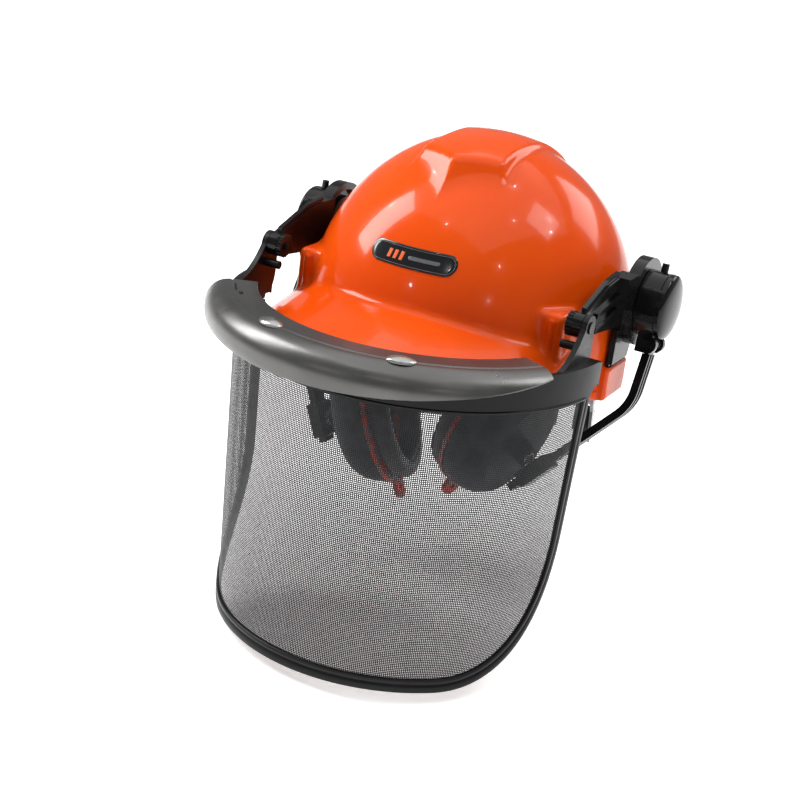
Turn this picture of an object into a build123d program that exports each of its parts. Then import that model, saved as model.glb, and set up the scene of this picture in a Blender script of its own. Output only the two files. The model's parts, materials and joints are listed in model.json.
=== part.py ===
from build123d import *
from math import asin, atan, cos, degrees, pi, radians, sin, sqrt, tan
import os

os.makedirs("parts", exist_ok=True)

# Forestry helmet, in millimetres. +Z is up, the helmet faces -Y and its left side is +X.
# The origin is the centre of the head opening, at the height of the shell's rim.

# Shell
DOME_X, DOME_Y, DOME_Z = 112.0, 120.0, 125.0
EQUATOR_Z = 7.0
SKIRT_Z = -32.0
WALL = 3.0
RIDGE_RISE = 3.0  # the crown ridge over the dome
PEAK_RADIUS = 114.0
PEAK_HALF_WIDTH = 104.0
PEAK_ARCH_RADIUS = 185.0
PEAK_SLOPE = atan(0.2)
CREASE_Y, CREASE_Z = -116.0, 35.0
BADGE_LENGTH, BADGE_HEIGHT, BADGE_Z = 61.0, 13.0, 66.0

# Side slots and the feet that plug into them
SLOT_BACK, SLOT_FRONT, SLOT_TOP, SLOT_BOTTOM = 10.0, -27.0, 2.0, -21.0
SLOT_OUTER_X = 116.3
FOOT_IN_X, FOOT_OUT_X = 112.4, 114.4
FOOT_BACK, FOOT_FRONT, FOOT_BOTTOM = 6.0, -22.0, -15.0

# Hubs: everything on them turns about one line along X
HUB_Y, HUB_Z = 10.0, 43.0
ADAPTER_X = (112.6, 116.5)
ARM_RING_X = (117.0, 121.5)
DRUM_X = (122.0, 135.5)
CAP_X = (135.5, 143.5)
BUSHING_RADIUS = 9.0
RUN = 0.05

# Visor: drawn on a vertical cylinder in front of the face
VISOR_Y = -78.0
BAND_IN, BAND_OUT, BAND_LOW, BAND_HIGH = 124.5, 128.0, 2.0, 25.0
MESH_IN, MESH_OUT = 122.0, 122.24
TRIM_IN, TRIM_OUT = 120.4, 124.0
CLAMP_TOP = 16.0
MESH_TOP, MESH_TAPER = 14.0, 0.0335
VISOR_BOTTOM = -195.0
VISOR_HALF_ANGLE = 91.0
CORNER_RADIUS = 98.0
TRIM_WIDTH = 10.0
GUARD_HALF_ANGLE = 62.0
GUARD_TOP = 31.0
ELBOW_Y, ELBOW_Z = -84.0, 45.0

# Ear muffs: pivot of the arm below the hub, and the arm's two straight runs
PIVOT_X, PIVOT_Z = 133.0, 16.5
UPPER_RUN, LOWER_RUN = 43.5, 105.3
UPPER_LEAN, LOWER_LEAN = 4.5, 41.65
BEND_RADIUS = 32.0
STRIP_WIDTH, STRIP_THICK, RIB_THICK = 13.0, 4.2, 5.4
BALL_RADIUS = 4.5
BALL_OFFSET = 11.0
CUP_HALF_WIDTH, CUP_HALF_HEIGHT = 42.0, 54.0
CUP_DEPTH = 32.0
RING_THICK = 3.2
CUSHION_THICK = 15.0
BALL_ABOVE_RING = 41.0

# How each muff hangs: turned forward on its hub, swung out on its pin, the slider's distance
# from the arm's end, and the cup's yaw, lean and spin on its ball (degrees and millimetres)
MUFFS = {
    "left": {"turn": 11.6, "swing": 0.0, "from_end": 22.0, "cup": (-19.7, 19.9, -10.6)},
    "right": {"turn": 2.5, "swing": 18.0, "from_end": 17.0, "cup": (-10.7, 19.9, -1.8)},
}

# Suspension
HEADBAND_X, HEADBAND_Y = 83.0, 101.0
HEADBAND_THICK = 2.0
HEADBAND_LOW, HEADBAND_HIGH = 2.0, 32.0
STRAP_WIDTH, STRAP_THICK = 20.0, 1.6
CRADLE_TOP = 98.0
REAR_Y, REAR_Z = 127.5, -95.0
PINION_TEETH, PINION_MODULE = 12, 1.25
BACKLASH = 0.3

nodes = {}


def slab(low, high):
    """A box from its lowest corner to its highest."""
    size = [h - l for l, h in zip(low, high)]
    middle = [(l + h) / 2 for l, h in zip(low, high)]
    return Pos(*middle) * Box(*size)


def rod(radius, start, end):
    """A round bar between two points."""
    along = Vector(*end) - Vector(*start)
    return extrude(Plane(origin=start, z_dir=along) * Circle(radius), amount=along.length)


def hub_disc(radius, x_range):
    """A disc on the hub's line."""
    return rod(radius, (x_range[0], HUB_Y, HUB_Z), (x_range[1], HUB_Y, HUB_Z))


def side_profile(outline, x_low, x_high):
    """A (y, z) outline pulled along X."""
    face = Plane.YZ.offset(x_low) * make_face(Polyline(*outline, close=True))
    return extrude(face, amount=x_high - x_low)


def oval_bar(half_width, half_height, x_low, x_high):
    """An oval bar along the cup's own X."""
    return extrude(Plane.YZ.offset(x_low) * Ellipse(half_width, half_height), amount=x_high - x_low)


def mirrored(shape):
    """The same piece on the other side of the head."""
    return mirror(shape, about=Plane.YZ)


def add_pair(name, shape):
    """A piece that both sides have."""
    nodes[name + "_left"] = shape
    nodes[name + "_right"] = mirrored(shape)


def bulge(half_x, half_y, height):
    """The upper half of an ellipsoid."""
    return scale(Sphere(1), by=(half_x, half_y, height)) & Pos(0, 0, 200) * Box(400, 400, 400)


def dome(inset):
    """Everything inside the shell's outer surface, drawn in by the inset."""
    half_x, half_y, half_z = DOME_X - inset, DOME_Y - inset, DOME_Z - inset
    cap = Pos(0, 0, EQUATOR_Z) * bulge(half_x, half_y, half_z)
    skirt = Pos(0, 0, SKIRT_Z) * extrude(Ellipse(half_x, half_y), amount=EQUATOR_Z - SKIRT_Z)
    return skirt + cap


def crown_ridge():
    """The raised panel on the crown, with a prow at the front."""
    def section(z, prow_y, shoulder_x, shoulder_y, back_y):
        corners = [
            (0, prow_y), (shoulder_x, shoulder_y), (shoulder_x, back_y),
            (-shoulder_x, back_y), (-shoulder_x, shoulder_y),
        ]
        return Pos(0, 0, z) * make_face(Polyline(*corners, close=True))

    body = loft([section(95, -81.1, 38.4, -61.9, 75), section(140, -53, 24.9, -36.1, 45)], ruled=True)
    return body & dome(-RIDGE_RISE)


def peak():
    """The arched brim over the face, sloping forward and down."""
    drop = PEAK_ARCH_RADIUS - sqrt(PEAK_ARCH_RADIUS**2 - PEAK_HALF_WIDTH**2)
    back_y = -40.0
    back_z = CREASE_Z + (back_y - CREASE_Y) * tan(PEAK_SLOPE)
    plane = Plane(
        origin=(0, back_y, back_z),
        x_dir=(1, 0, 0),
        z_dir=(0, -cos(PEAK_SLOPE), -sin(PEAK_SLOPE)),
    )
    top = ThreePointArc((-PEAK_HALF_WIDTH, -drop), (0, 0), (PEAK_HALF_WIDTH, -drop))
    right = Line((PEAK_HALF_WIDTH, -drop), (PEAK_HALF_WIDTH, -drop - WALL))
    under = ThreePointArc((PEAK_HALF_WIDTH, -drop - WALL), (0, -WALL), (-PEAK_HALF_WIDTH, -drop - WALL))
    left = Line((-PEAK_HALF_WIDTH, -drop - WALL), (-PEAK_HALF_WIDTH, -drop))
    plate = extrude(plane * make_face(top + right + under + left), amount=165)
    plan = Pos(0, VISOR_Y) * Circle(PEAK_RADIUS) & Pos(0, -125) * Rectangle(2 * PEAK_HALF_WIDTH, 150)
    return plate & Pos(0, 0, -60) * extrude(plan, amount=130)


def front_buttress():
    """The block in front of the side slot, standing on the peak against the dome."""
    block = slab((60, -77, 4), (98, -38, 45))
    block = fillet(block.edges().filter_by(Axis.Z), 4)
    return fillet(block.faces().sort_by(Axis.Z)[-1].edges(), 3)


def slot_housing():
    """The pocket on the rim that takes the adapter's foot."""
    return slab((104, SLOT_FRONT, SLOT_BOTTOM), (SLOT_OUTER_X, SLOT_BACK, SLOT_TOP))


def build_shell():
    below_rim = side_profile(
        [(-140, -60), (-140, 8), (-72, 8), (-45, -20), (0, -23), (60, -29), (140, -31), (140, -60)], -130, 130
    )
    foot_slot = slab(
        (FOOT_IN_X - 0.1, FOOT_FRONT - 0.2, FOOT_BOTTOM - 1), (FOOT_OUT_X + 0.1, FOOT_BACK + 0.2, 9)
    )
    body = dome(0) - below_rim + crown_ridge() + peak()
    for side in (1, -1):
        for block in (front_buttress(), slot_housing()):
            body += block if side > 0 else mirrored(block)
    body -= dome(WALL)
    return body - foot_slot - mirrored(foot_slot)


def build_badge():
    """A plain pill-shaped plate lying on the front of the dome."""
    pill = Plane.XZ.offset(60) * Pos(0, BADGE_Z) * SlotOverall(BADGE_LENGTH, BADGE_HEIGHT)
    return extrude(pill, amount=70) & (dome(-0.6) - dome(0))


def sector(outer, half_angle):
    """A flat wedge that faces forward, to cut part of a ring out."""
    reach = 2 * outer
    edge_x, edge_y = reach * sin(radians(half_angle)), -reach * cos(radians(half_angle))
    corners = [(0, 0), (edge_x, edge_y), (reach, -reach), (-reach, -reach), (-edge_x, edge_y)]
    return make_face(Polyline(*corners, close=True))


def visor_cone(radius, bottom, top):
    """A solid cone that narrows downward, of the given radius at the mesh's top."""
    low = radius - MESH_TAPER * (MESH_TOP - bottom)
    high = radius - MESH_TAPER * (MESH_TOP - top)
    return Cone(low, high, top - bottom)


def visor_sheet(inner, outer, top, inset):
    """A curved sheet in front of the face, its sides and bottom drawn in by the inset."""
    half_angle = VISOR_HALF_ANGLE - degrees(inset / MESH_IN)
    bottom = VISOR_BOTTOM + inset
    wall = visor_cone(outer, bottom, top) - visor_cone(inner, bottom, top)
    wall &= Pos(0, 0, (bottom - top) / 2) * extrude(sector(outer, half_angle), amount=top - bottom)
    sheet = Pos(0, VISOR_Y, (bottom + top) / 2) * wall
    for side in (1, -1):
        sheet -= corner_cutter(side, inset)
    return sheet


def corner_cutter(side, inset):
    """What lies outside a rounded lower corner, seen along the corner's own radius."""
    facing = 68.0
    centre_angle = VISOR_HALF_ANGLE - degrees(CORNER_RADIUS / MESH_IN)
    centre_z = VISOR_BOTTOM + CORNER_RADIUS
    radius = CORNER_RADIUS - inset
    points = []
    for step in range(9):
        turn = radians(90 * step / 8)
        angle = centre_angle + degrees(radius * sin(turn) / MESH_IN)
        points.append((side * MESH_IN * sin(radians(angle - facing)), centre_z - radius * cos(turn)))
    far_x, low_z = points[-1][0], points[0][1]
    outside = Polyline(points[-1], (far_x + side * 30, centre_z), (far_x + side * 30, low_z - 30),
                       (points[0][0], low_z - 30), points[0])
    away = (side * sin(radians(facing)), -cos(radians(facing)), 0)
    across = (cos(radians(facing)), side * sin(radians(facing)), 0)
    plane = Plane(origin=(0, VISOR_Y, 0), x_dir=across, z_dir=away)
    # On the far side of the face the plane's own Y points down, so the outline is turned over.
    flip = 1 if plane.y_dir.Z > 0 else -1
    if flip < 0:
        plane = Plane(origin=(0, VISOR_Y, 0), x_dir=across, z_dir=(-away[0], -away[1], 0))
    outline = make_face(Spline(*points) + outside)
    return extrude(plane * outline, amount=flip * 160)


def build_visor_band():
    """The carrier: a curved band with a fin at each end and a shelf under the guard."""
    band = visor_ring(BAND_IN, BAND_OUT, BAND_LOW, BAND_HIGH, 88.0)
    band += visor_ring(119.0, 126.4, BAND_HIGH, GUARD_TOP - 2.0, GUARD_HALF_ANGLE - 3)
    fin_outline = Spline((-76, ELBOW_Z), (-75.5, 30), (-77, 16), (-86, 6)) + Polyline(
        (-86, 6), (-128, 8), (-128, 24), (-122, 25)
    ) + Spline((-122, 25), (-108, 30), (-98, 38), (-92, ELBOW_Z)) + ThreePointArc(
        (-92, ELBOW_Z), (ELBOW_Y, ELBOW_Z + 8), (-76, ELBOW_Z)
    )
    fin = extrude(Plane.YZ.offset(115) * make_face(fin_outline), amount=3.6)
    root = side_profile([(-78, 8), (-78, 24), (-124, 24), (-124, 8)], 115, 128)
    ends = (fin + root) & Pos(0, VISOR_Y, -60) * extrude(Circle(BAND_OUT), amount=120)
    band += ends + mirrored(ends)
    corner = Pos(0, -86, BAND_LOW) * Box(300, 14, 14)
    round_bar = Pos(0, -93, BAND_LOW + 7) * Rot(0, 90, 0) * Cylinder(7, 300)
    corner -= slab((-150, -120, -20), (150, -93, 40)) + slab((-150, -120, BAND_LOW + 7), (150, -60, 40))
    band -= corner - round_bar
    band -= visor_ring(TRIM_IN - 0.4, BAND_IN, BAND_LOW - 1, CLAMP_TOP + 0.5, 95)
    pin_hole = rod(2.5, (112, ELBOW_Y, ELBOW_Z), (122, ELBOW_Y, ELBOW_Z))
    peg_hole = rod(2.8, (114, -91, 33), (117, -91, 33))
    return band - pin_hole - mirrored(pin_hole) - peg_hole - mirrored(peg_hole) - stud_shanks()


def visor_ring(inner, outer, low, high, half_angle):
    """Part of a ring about the visor's own line."""
    ring = (Circle(outer) - Circle(inner)) & sector(outer, half_angle)
    return Pos(0, VISOR_Y, low) * extrude(ring, amount=high - low)


STUD_PLACES = [(45.0, -196.0), (-45.0, -196.0)]


def stud_shanks(top=GUARD_TOP):
    return [rod(2.5, (x, y, 20), (x, y, top)) for x, y in STUD_PLACES]


def build_brow_guard():
    """The rolled lip and its flat top, a thin shell turned about the visor's line."""
    outer = ThreePointArc((127, GUARD_TOP), (142.5, 15.5), (137.9, 4.5))
    inner = ThreePointArc((136.5, 5.9), (140.5, 15.5), (127, GUARD_TOP - 2))
    top = Line((109, GUARD_TOP), (127, GUARD_TOP))
    under = Line((127, GUARD_TOP - 2), (109, GUARD_TOP - 2)) + Line((109, GUARD_TOP - 2), (109, GUARD_TOP))
    profile = make_face(top + outer + Line((137.9, 4.5), (136.5, 5.9)) + inner + under)
    start = -90 - GUARD_HALF_ANGLE
    turned = Pos(0, VISOR_Y, 0) * Rot(0, 0, start) * revolve(
        Plane.XZ * profile, Axis.Z, revolution_arc=2 * GUARD_HALF_ANGLE
    )
    # The lower edge rises towards the back, and a little more towards the left.
    edge_plane = Plane(origin=(0, -220, 8), x_dir=(1, 0, 0.05), z_dir=(-0.05, -0.17, 1))
    below = edge_plane * Pos(0, 0, -40) * Box(400, 400, 80)
    return turned - below - stud_shanks(GUARD_TOP + 10)


def build_studs():
    """Two oval domed studs with plain shanks."""
    heads = []
    for (x, y), shank in zip(STUD_PLACES, stud_shanks()):
        angle = degrees(asin(x / 126.3))
        head = Pos(x, y, GUARD_TOP) * Rot(0, 0, angle) * bulge(9.5, 6, 3.2)
        heads.append(head + shank)
    return heads


def build_visor_arm():
    """A link from the ring on the hub to the elbow, with a ribbed upper edge."""
    ring = hub_disc(30, ARM_RING_X)
    rim = hub_disc(30, (113, ARM_RING_X[1])) - hub_disc(25, (100, 130))
    rim &= slab((100, -30, HUB_Z + 14), (130, 50, HUB_Z + 40))
    link = side_profile([(-84, 53), (-48, 64), (-28, 66), (-22, 30), (-44, 33), (-84, 37)], 109, 114.6)
    bar = side_profile([(-30, 66), (-12, 66), (-12, 60), (-24, 30), (-34, 32)], 109, 121.5)
    bar -= hub_disc(24.5, (100, 116.8))
    rib = side_profile([(-82, 53.5), (-48, 64.5), (-28, 66.5), (-28, 69), (-48, 67), (-82, 56)], 110, 113)
    knuckle = rod(8, (104, ELBOW_Y, ELBOW_Z), (114.6, ELBOW_Y, ELBOW_Z))
    groove = Pos(8.2, 0, 0) * Cylinder(0.9, 30)
    grooves = [Rot(0, 0, 360 * step / 18) * groove for step in range(18)]
    cut = Pos(104, ELBOW_Y, ELBOW_Z) * Rot(0, 90, 0) * Compound(grooves)
    arm = ring + rim + link + bar + rib + knuckle
    for rise in (-6, 3):
        arm += side_profile(
            [(-68, 44 + rise), (-30, 50 + rise), (-30, 53 + rise), (-68, 47 + rise)], 113, 116.6
        )
    arm -= cut & slab((103, ELBOW_Y - 12, ELBOW_Z - 12), (108, ELBOW_Y + 12, ELBOW_Z + 12))
    arm -= hub_disc(BUSHING_RADIUS + RUN, (100, 130))
    return arm - rod(2.5 + RUN, (100, ELBOW_Y, ELBOW_Z), (116, ELBOW_Y, ELBOW_Z))


def build_adapter():
    """The plate with the foot, and the bushing that the arm and the drum turn on."""
    plate = hub_disc(20, ADAPTER_X)
    neck = side_profile([(FOOT_FRONT, 4), (FOOT_FRONT, 30), (-8, 48), (20, 40), (FOOT_BACK, 4)], *ADAPTER_X)
    foot = slab((FOOT_IN_X, FOOT_FRONT, FOOT_BOTTOM), (FOOT_OUT_X, FOOT_BACK, 5))
    bushing = hub_disc(BUSHING_RADIUS, (ADAPTER_X[0], 132))
    return plate + neck + foot + bushing - hub_disc(4, (100, 140))


def build_axle():
    """The hub's screw, with a wide head that keeps the drum on the bushing."""
    return hub_disc(4, (112.6, 134)) + hub_disc(11, (132, 134))


def build_drum():
    """The muff's hub: a flat-sided drum with a clevis below it."""
    drum = hub_disc(23, DRUM_X)
    drum &= slab((120, HUB_Y - 22, HUB_Z - 24), (140, HUB_Y + 22, HUB_Z + 22))
    lugs = slab((125, HUB_Y - 11, PIVOT_Z - 6), (DRUM_X[1], HUB_Y + 11, HUB_Z - 16))
    lugs += rod(6, (PIVOT_X, HUB_Y - 11, PIVOT_Z), (PIVOT_X, HUB_Y + 11, PIVOT_Z))
    gap = slab((118, HUB_Y - 6.8, 0), (150, HUB_Y + 6.8, PIVOT_Z + 7))
    stop = rod(2.5, (130, 8, HUB_Z + 18), (130, 8, 71))
    drum = drum + lugs + stop - gap
    drum -= hub_disc(BUSHING_RADIUS + RUN, (110, 131.6)) + hub_disc(11.4, (131.6, 140))
    drum -= hub_disc(17, (121, 123.5)) - hub_disc(12, (120, 124))
    drum -= hub_disc(19, (134.2, 140))
    return drum - rod(2, (PIVOT_X, HUB_Y - 20, PIVOT_Z), (PIVOT_X, HUB_Y + 20, PIVOT_Z))


def build_cap():
    """The domed cover on the drum."""
    dome_height = CAP_X[1] - CAP_X[0] - 3
    cover = Pos(CAP_X[0] + 3, HUB_Y, HUB_Z) * Rot(0, 90, 0) * bulge(22, 22, dome_height)
    cover += hub_disc(22, (CAP_X[0], CAP_X[0] + 3))
    return cover - hub_disc(18, (CAP_X[0] - 1, CAP_X[0] + 2)) + (
        hub_disc(18.9, (134.3, CAP_X[0] + 2)) - hub_disc(17.2, (134, CAP_X[0] + 2))
    )


def run_points():
    """The arm's pivot, bend and end, in (x, z)."""
    pivot = (PIVOT_X, PIVOT_Z)
    bend = (
        pivot[0] - UPPER_RUN * sin(radians(UPPER_LEAN)),
        pivot[1] - UPPER_RUN * cos(radians(UPPER_LEAN)),
    )
    end = (
        bend[0] - LOWER_RUN * sin(radians(LOWER_LEAN)),
        bend[1] - LOWER_RUN * cos(radians(LOWER_LEAN)),
    )
    return pivot, bend, end


def strip(thick, y_low, y_high):
    """Part of the arm's bent strip."""
    path = FilletPolyline(*run_points(), radius=BEND_RADIUS)
    face = Plane.XZ.offset(-y_high) * trace(path, line_width=thick)
    return extrude(face, amount=y_high - y_low)


def build_muff_arm():
    """The bent strip with ribs along it and an eye for the pin."""
    half = STRIP_WIDTH / 2
    arm = strip(STRIP_THICK, HUB_Y - half, HUB_Y + half)
    for middle in (-half + 1, 0, half - 1):
        arm += strip(RIB_THICK, HUB_Y + middle - 1, HUB_Y + middle + 1)
    arm -= rod(7.5, (PIVOT_X, HUB_Y - 10, PIVOT_Z), (PIVOT_X, HUB_Y + 10, PIVOT_Z))
    eye = rod(4.2, (PIVOT_X, HUB_Y - 4.4, PIVOT_Z), (PIVOT_X, HUB_Y + 4.4, PIVOT_Z))
    neck = Pos(PIVOT_X, HUB_Y, PIVOT_Z) * Rot(0, UPPER_LEAN, 0) * slab((-2.1, -4.4, -11), (2.1, 4.4, 0))
    arm += eye + neck
    return arm - rod(2 + RUN, (PIVOT_X, HUB_Y - 10, PIVOT_Z), (PIVOT_X, HUB_Y + 10, PIVOT_Z))


def build_arm_pin():
    return rod(2, (PIVOT_X, HUB_Y - 12.5, PIVOT_Z), (PIVOT_X, HUB_Y + 11, PIVOT_Z)) + rod(
        3.4, (PIVOT_X, HUB_Y - 12.5, PIVOT_Z), (PIVOT_X, HUB_Y - 11, PIVOT_Z)
    )


def build_arm_springs():
    """A torsion spring on each side of the eye, drawn as plain rings."""
    rings = []
    for y in (HUB_Y - 6.6, HUB_Y + 4.8):
        ends = ((PIVOT_X, y, PIVOT_Z), (PIVOT_X, y + 1.8, PIVOT_Z))
        rings.append(rod(3.8, *ends) - rod(2.0, *ends))
    return rings


def build_slider():
    """The block that holds the strip, with X away from the cup and Z up the arm."""
    block = fillet(Box(11, 19, 26).edges(), 1.5)
    window = Box(RIB_THICK + 0.5, STRIP_WIDTH + 0.5, 40)
    return block - window


def build_ball_stud():
    """The ball that the cup swivels on, with its neck and flange."""
    flange = rod(5.5, (-5.5, 0, 0), (-6.7, 0, 0))
    neck = rod(2.2, (-6.7, 0, 0), (-BALL_OFFSET, 0, 0))
    return flange + neck + Pos(-BALL_OFFSET, 0, 0) * Sphere(BALL_RADIUS)


def cup_loft(inset, floor_x):
    """The cup's bowl, drawn in by the inset, its mouth towards the ring."""
    stations = [(floor_x, 1.0, 0.0), (14.0, 2.0, 0.0), (24.0, 6.5, 0.0), (CUP_DEPTH, 16.0, 1.0)]
    faces = []
    for x, narrowing, lid in stations:
        half_width = CUP_HALF_WIDTH - narrowing - inset
        half_height = CUP_HALF_HEIGHT - narrowing - inset
        faces.append(Plane.YZ.offset(x - inset * lid) * Ellipse(half_width, half_height))
    return loft(faces)


def build_cup_shell():
    bowl = cup_loft(0, RING_THICK) + rod(8, (CUP_DEPTH - 3, 0, 0), (BALL_ABOVE_RING + 1.2, 0, 0))
    bowl -= cup_loft(2.5, RING_THICK)
    return bowl - Pos(BALL_ABOVE_RING, 0, 0) * Sphere(BALL_RADIUS + 2 * RUN)


def build_cup_ring():
    """The flat ring between cup and cushion, with a tab and its hole below."""
    plate = oval_bar(CUP_HALF_WIDTH, CUP_HALF_HEIGHT, 0, RING_THICK)
    tab_z = -CUP_HALF_HEIGHT - 6
    plate += slab((0, -8, tab_z), (RING_THICK, 8, -40)) + rod(8, (0, 0, tab_z), (RING_THICK, 0, tab_z))
    return plate - oval_bar(27, 38, -1, 5) - rod(1.9, (-1, 0, tab_z), (5, 0, tab_z))


def build_cushion():
    ring = oval_bar(40.5, 52, -CUSHION_THICK, 0) - oval_bar(25, 36, -20, 5)
    return fillet(ring.faces().sort_by(Axis.X)[0].edges(), 5)


def build_foam():
    return oval_bar(33, 44, 6, 14)


def build_cradle():
    """Two straps over the head, ending at the keys in the shell."""
    def arch(half_width, rise, base_z):
        outer = Pos(0, base_z) * Ellipse(half_width, rise)
        inner = Pos(0, base_z) * Ellipse(half_width - STRAP_THICK, rise - STRAP_THICK)
        return (outer - inner) & Pos(0, base_z + rise / 2) * Rectangle(3 * half_width, rise)

    base_z = 14.0
    across = extrude(Plane.XZ * arch(103, CRADLE_TOP - base_z, base_z), amount=STRAP_WIDTH / 2, both=True)
    rise = CRADLE_TOP + STRAP_THICK + 0.5 - base_z
    along = extrude(Plane.YZ * arch(111, rise, base_z), amount=STRAP_WIDTH / 2, both=True)
    return across, along


def build_keys():
    """The four keys that plug the straps' ends into the shell."""
    inside = dome(WALL)
    keys = []
    for x, y in ((1, 0), (-1, 0), (0, 1), (0, -1)):
        key = slab((-13, -13, 2), (13, 13, 14))
        reach = 107.5 if x else 115.5
        keys.append(Pos(x * reach, y * reach, 0) * key & inside)
    return keys


def build_headband():
    outer = Ellipse(HEADBAND_X, HEADBAND_Y)
    inner = Ellipse(HEADBAND_X - HEADBAND_THICK, HEADBAND_Y - HEADBAND_THICK)
    return Pos(0, 0, HEADBAND_LOW) * extrude(outer - inner, amount=HEADBAND_HIGH - HEADBAND_LOW)


def build_sweatband():
    outer = Ellipse(HEADBAND_X - HEADBAND_THICK, HEADBAND_Y - HEADBAND_THICK)
    inner = Ellipse(HEADBAND_X - HEADBAND_THICK - 3.5, HEADBAND_Y - HEADBAND_THICK - 3.5)
    front = Pos(0, -75) * Rectangle(300, 150)
    return Pos(0, 0, HEADBAND_LOW - 1) * extrude((outer - inner) & front, amount=32)


def build_hangers():
    """Tabs that join the headband to the four keys."""
    tabs = []
    for angle in (0, 90, 180, 270):
        start, end = (HEADBAND_Y, 102.4) if angle % 180 else (HEADBAND_X, 94.4)
        tabs.append(Rot(0, 0, angle) * slab((start, -7, 6), (end, 7, 9)))
    return tabs


def build_rear_band():
    """The strap that runs down behind the head, in two halves that meet at the ratchet."""
    path = FilletPolyline((84.4, -6), (84, 50), (61, REAR_Y), (46, REAR_Y), radius=14)
    wall = Pos(0, 0, -130) * extrude(trace(path, line_width=2.2), amount=160)
    slope = side_profile(
        [(-10, 8), (64, -43), (108, -82), (140, -84), (140, -106), (108, -105), (64, -64), (-10, -14)],
        30, 120,
    )
    half = wall & slope
    half -= rod(2, (80, -2, 3.5), (90, -2, 3.5))
    return [half, mirrored(half)]


def build_rivets():
    rivet = rod(2, (HEADBAND_X + 0.1, -2, 3.5), (87, -2, 3.5))
    return [rivet, mirrored(rivet)]


def gear_outline(teeth, module):
    """Involute teeth with a little backlash, as points round the pinion."""
    pressure = radians(20)
    pitch = teeth * module / 2
    base = pitch * cos(pressure)
    tip, root = pitch + 0.9 * module, pitch - 1.2 * module
    half_tooth = pi / (2 * teeth) - BACKLASH / (2 * pitch) + tan(pressure) - pressure
    points = []
    for tooth in range(teeth):
        centre = 2 * pi * tooth / teeth
        flank = []
        for step in range(5):
            radius = max(base, root) + (tip - max(base, root)) * step / 4
            roll = sqrt(max(radius**2 / base**2 - 1, 0))
            flank.append((radius, half_tooth - (roll - atan(roll))))
        flank.insert(0, (root, flank[0][1]))
        points += [(r * sin(centre - a), r * cos(centre - a)) for r, a in flank]
        points += [(r * sin(centre + a), r * cos(centre + a)) for r, a in reversed(flank)]
    return points


def build_pinion():
    face = Plane.XZ.offset(-129.3) * Pos(0, REAR_Z) * make_face(
        Polyline(*gear_outline(PINION_TEETH, PINION_MODULE), close=True)
    )
    shaft = rod(3, (0, 129.3, REAR_Z), (0, 141, REAR_Z))
    return extrude(face, amount=3.6) + shaft


def build_strap_tail(side):
    """A strap end with a rack: the left one runs over the pinion, the right one under it."""
    pitch = PINION_TEETH * PINION_MODULE / 2
    step = pi * PINION_MODULE
    flare = tan(radians(20))
    tip, root = -0.9 * PINION_MODULE, 1.2 * PINION_MODULE
    outline = [(45.0, root + 3.2), (-26.0, root + 3.2), (-26.0, root)]
    for tooth in range(-6, 7):
        middle = step * (tooth + 0.5)
        half = step / 4 - BACKLASH / 2
        for across, height in ((-half - flare * root, root), (-half - flare * tip, tip),
                               (half + flare * tip, tip), (half + flare * root, root)):
            outline.append((middle + across, height))
    outline.append((45.0, root))
    face = Plane.XZ.offset(-129.0) * Pos(0, REAR_Z + pitch) * make_face(Polyline(*outline, close=True))
    tail = extrude(face, amount=3.0)
    if side < 0:
        tail = tail.rotate(Axis((0, 0, REAR_Z), (0, 1, 0)), 180)
    return tail


def build_ratchet_housing():
    body = slab((-30, 121, REAR_Z - 17), (30, 135, REAR_Z + 17))
    body = fillet(body.edges().filter_by(Axis.Y), 5)
    channel = slab((-40, 125.4, REAR_Z - 12.6), (40, 129.6, REAR_Z + 12.6))
    return body - channel - rod(3 + RUN, (0, 125, REAR_Z), (0, 140, REAR_Z))


def build_ratchet_knob():
    knob = rod(17, (0, 135.6, REAR_Z), (0, 147, REAR_Z))
    groove = Pos(17.6, 0, 0) * Cylinder(1.8, 40)
    grooves = Compound([Rot(0, 0, 20 * step) * groove for step in range(18)])
    knob -= Pos(0, 141, REAR_Z) * Rot(90, 0, 0) * grooves
    return knob - rod(3, (0, 135, REAR_Z), (0, 141, REAR_Z))


def muff_places(hang):
    """Where one side's muff group sits: the hub's, the arm's, the slider's and the cup's frames."""
    hub = Pos(0, HUB_Y, HUB_Z) * Rot(-hang["turn"], 0, 0) * Pos(0, -HUB_Y, -HUB_Z)
    pivot = Pos(PIVOT_X, HUB_Y, PIVOT_Z)
    arm = hub * pivot * Rot(0, -hang["swing"], 0) * Pos(-PIVOT_X, -HUB_Y, -PIVOT_Z)
    end_x, end_z = run_points()[2]
    rise = hang["from_end"]
    slider = arm * Pos(
        end_x + rise * sin(radians(LOWER_LEAN)), HUB_Y, end_z + rise * cos(radians(LOWER_LEAN))
    ) * Rot(0, LOWER_LEAN, 0)
    ball = (slider * Pos(-BALL_OFFSET, 0, 0)).position
    yaw, lean, spin = hang["cup"]
    cup = Pos(*ball) * Rot(0, 0, yaw) * Rot(0, lean, 0) * Rot(spin, 0, 0) * Pos(-BALL_ABOVE_RING, 0, 0)
    return hub, arm, slider, cup


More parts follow.
